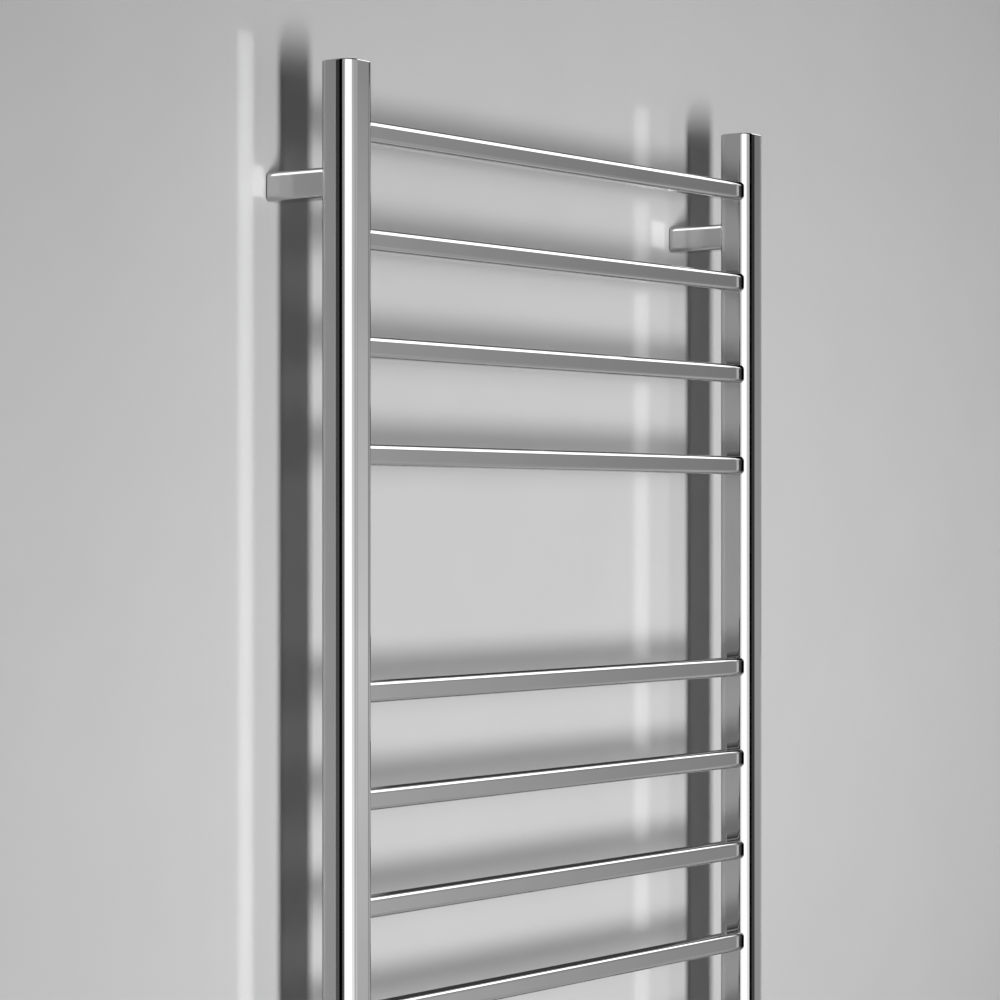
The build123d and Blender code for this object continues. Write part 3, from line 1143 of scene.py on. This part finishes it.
# Four lights stand in one place: a tall one, a short one, and one for each side. The fifth stands
# in front. The glints are the light that the polished sides throw back on the wall.
LIGHTS = (
    StripLight("tall_strip", power=25.5, middle=-0.185, height=1.75),
    StripLight(
        "short_strip",
        power=4.3,
        middle=-0.45,
        height=0.70,
        aim=-0.2,
        tilt_deg=6.0,
        spread_deg=110.0,
    ),
    StripLight(
        "far_side_strip",
        power=10.4,
        middle=-0.30,
        height=1.20,
        aim=1.3,
        tilt_deg=6.0,
        spread_deg=70.0,
    ),
    StripLight(
        "near_side_strip", power=3.6, middle=-0.40, height=1.20, aim=-1.6, spread_deg=70.0
    ),
    StripLight("front_strip", power=6.0, middle=-0.185, height=1.75, place=(0.065, -2.70)),
    StripLight(
        "left_glint",
        power=0.014,
        middle=-0.007,
        height=1.1,
        aim=-0.3455,
        spread_deg=9.0,
        place=(-0.3345, -0.0775),
        width=0.018,
    ),
    StripLight(
        "right_glint",
        power=0.016,
        middle=-0.007,
        height=1.1,
        aim=0.2465,
        spread_deg=12.0,
        place=(0.2770, -0.0775),
        width=0.024,
    ),
    StripLight(
        "left_standoff_glint",
        power=0.00035,
        middle=0.418,
        height=0.026,
        aim=-0.3300,
        tilt_deg=8.0,
        spread_deg=24.0,
        place=(-0.3270, -0.012),
        width=0.014,
    ),
    StripLight(
        "right_standoff_glint",
        power=0.00055,
        middle=0.418,
        height=0.026,
        aim=0.2760,
        tilt_deg=8.0,
        spread_deg=24.0,
        place=(0.2810, -0.012),
        width=0.022,
    ),
)

# First the room at a distance, then the small cards that hug the uprights and standoffs, whose
# polish mirrors them as bright, dark and grey bands. The last card stands behind the rack.
ROOM = (-1.6, 2.0)
LOW_ROOM = (-1.6, 1.0)
WHOLE_RACK = (-0.5165, 0.5165)
PAST_RACK = (-0.56, 0.56)
STANDOFF = (0.425, 0.434)
FRONT = -0.0975
REFLECTORS = (
    Card("pale_left", (-5.0, -0.02), (-3.519, -1.259), ROOM, even(2.0, 0.7)),
    Card("white_left", (-3.519, -1.259), (-2.611, -2.018), ROOM, even(3.0, 3.0)),
    Card("bright_left", (-2.611, -2.018), (-1.137, -3.25), ROOM, ((2.6, 2.4), (2.2, 2.0))),
    Card("pale_front", (-1.137, -3.25), (0.408, -3.83), ROOM, even(2.1, 0.35)),
    Card("grey_front", (0.408, -3.83), (1.3, -3.6), ROOM, even(0.8, 0.6)),
    Card("grey_right", (0.6, -2.2), (2.42, -1.36), LOW_ROOM, ((1.60, 0.515), (0.79, 0.293))),
    Card("grey_right_end", (2.42, -1.36), (3.2, -1.0), LOW_ROOM, even(0.7, 0.55)),
    Card("grey_far_right", (3.2, -1.0), (3.4, -0.03), (-1.2, 1.0), even(0.6, 0.5)),
    Card("grey_low", (1.5, -0.78), (1.5, -0.02), (-1.29, -0.05), even(0.7, 0.7)),
    Card("grey_low_front", (1.5, -1.3), (1.5, -0.78), (-1.29, -0.64), even(0.6, 0.6)),
    Card("grey_lower", (0.7, -0.5), (0.7, -0.02), (-1.29, -0.42), even(0.6, 0.6)),
    Card("white_above", (8.0, -6.5), (8.0, -0.1), (1.9, 9.0), even(3.0, 3.0)),
    Card("left_front_high", (-0.3109, FRONT), (-0.2979, FRONT), (0.034, 0.5165), even(1.14, 0.51)),
    Card("left_front_low", (-0.3109, FRONT), (-0.2979, FRONT), (-0.5165, 0.034), even(0.56, 1.14)),
    Card("right_front_high", (0.3082, FRONT), (0.3180, FRONT), (0.017, 0.5165), even(0.61, 0.35)),
    Card("right_front_low", (0.3082, FRONT), (0.3180, FRONT), (-0.5165, 0.017), even(0.51, 0.61)),
    Card("grey_left", (-0.337, -0.0908), (-0.337, -0.0850), PAST_RACK, even(0.0, 0.6)),
    Card("black_left", (-0.337, -0.0850), (-0.337, -0.0742), PAST_RACK, even(0.0, 0.0)),
    Card("dark_left", (-0.337, -0.0742), (-0.337, -0.0704), PAST_RACK, even(0.2, 0.06)),
    Card("black_right", (0.2969, -0.0967), (0.3006, -0.0967), WHOLE_RACK, even(0.0, 0.0)),
    Card("dark_front_right", (0.3006, FRONT), (0.3082, FRONT), WHOLE_RACK, even(0.12, 0.06)),
    Card("dark_right", (0.3202, -0.1144), (0.3262, -0.1147), PAST_RACK, even(0.07, 0.07)),
    Card("bar_end_light", (0.3162, -0.1144), (0.3202, -0.1144), PAST_RACK, even(0.9, 0.9)),
    Card("left_standoff_light", (-0.3235, -0.0585), (-0.3235, -0.002), STANDOFF, even(2.4, 2.4)),
    Card("right_standoff_light", (0.2915, -0.0585), (0.2915, -0.002), STANDOFF, even(2.4, 2.4)),
    Card("pale_back", (-3.0, 3.0), (3.0, 3.0), (-3.0, 3.0), even(0.5, 0.6)),
)

BACKDROPS = tuple(
    Card(f"backdrop_{side}", start, end, (-6.0, 9.0), even(0.5, 0.6), Seen.BY_CAMERA)
    for side, start, end in (
        ("front", (-9.0, -9.0), (9.0, -9.0)),
        ("back", (-9.0, 9.0), (9.0, 9.0)),
        ("left", (-9.0, -9.0), (-9.0, 9.0)),
        ("right", (9.0, -9.0), (9.0, 9.0)),
    )
)


@dataclass(frozen=True)
class PhotoCamera:
    """The camera at the photograph's viewing angle."""

    place: tuple[float, float, float] = (-2.3237, -1.7329, 0.132)
    heading_deg: float = 53.674
    lens_mm: float = 112.72
    shift: tuple[float, float] = (-0.0141, 0.0234)
    sight: float = 50.0

    def build(self) -> None:
        """Make the camera and set the tone curve."""
        camera = bpy.data.cameras.new("photo_camera")
        camera.lens = self.lens_mm
        camera.shift_x, camera.shift_y = self.shift
        camera.clip_end = self.sight
        holder = bpy.data.objects.new("photo_camera", camera)
        holder.location = self.place
        holder.rotation_euler = (math.radians(90), 0.0, -math.radians(self.heading_deg))
        bpy.context.scene.collection.objects.link(holder)
        bpy.context.scene.camera = holder
        bpy.context.scene.view_settings.view_transform = "Standard"


def main() -> None:
    """Build the rack's looks in order, then the studio and the camera."""
    logging.basicConfig(level=logging.INFO, format="%(message)s")
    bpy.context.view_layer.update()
    rack = (Uprights(), Bars(), Standoffs(), EarthScrew(), Fittings())
    for assembly in (*rack, Studio(), PhotoCamera()):
        assembly.build()
        log.info("%s built", type(assembly).__name__)


if __name__ == "__main__":
    main()
